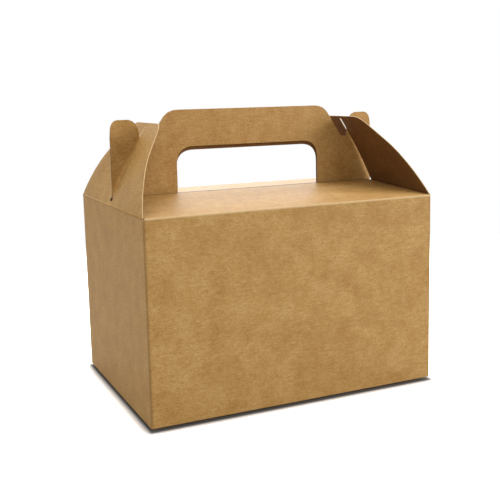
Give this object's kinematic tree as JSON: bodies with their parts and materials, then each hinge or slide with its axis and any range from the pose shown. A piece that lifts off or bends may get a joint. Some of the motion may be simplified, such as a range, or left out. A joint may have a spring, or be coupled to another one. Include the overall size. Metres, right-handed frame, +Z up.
{
  "type": "gable box",
  "caption": "Kraft board gable box with a folded carry handle, a hand hole and slotted end flaps that lock over the handle's ears.",
  "frame": {"origin": "centre of the box's footprint, on the underside of the base", "axes": "+Z up, +X along the long side and the handle, +Y from the front panel to the back panel"},
  "size_m": [0.2, 0.144, 0.188],
  "materials": {
    "kraft_board": "uncoated, matt, fibrous",
    "kraft_board_end": "uncoated, matt, fibrous"
  },
  "bodies": {
    "carton": {"carton": "kraft_board"},
    "flap_left": {"flap_left": "kraft_board_end"},
    "flap_right": {"flap_right": "kraft_board_end"}
  },
  "joints": [
    {"name": "flap_left_fold", "type": "hinge", "parent": "carton", "child": "flap_left", "pos_m": [-0.09975, 0, 0.128], "axis": [0, -1, 0], "range_deg": [0, 110]},
    {"name": "flap_right_fold", "type": "hinge", "parent": "carton", "child": "flap_right", "pos_m": [0.09975, 0, 0.128], "axis": [0, 1, 0], "range_deg": [0, 110]}
  ]
}
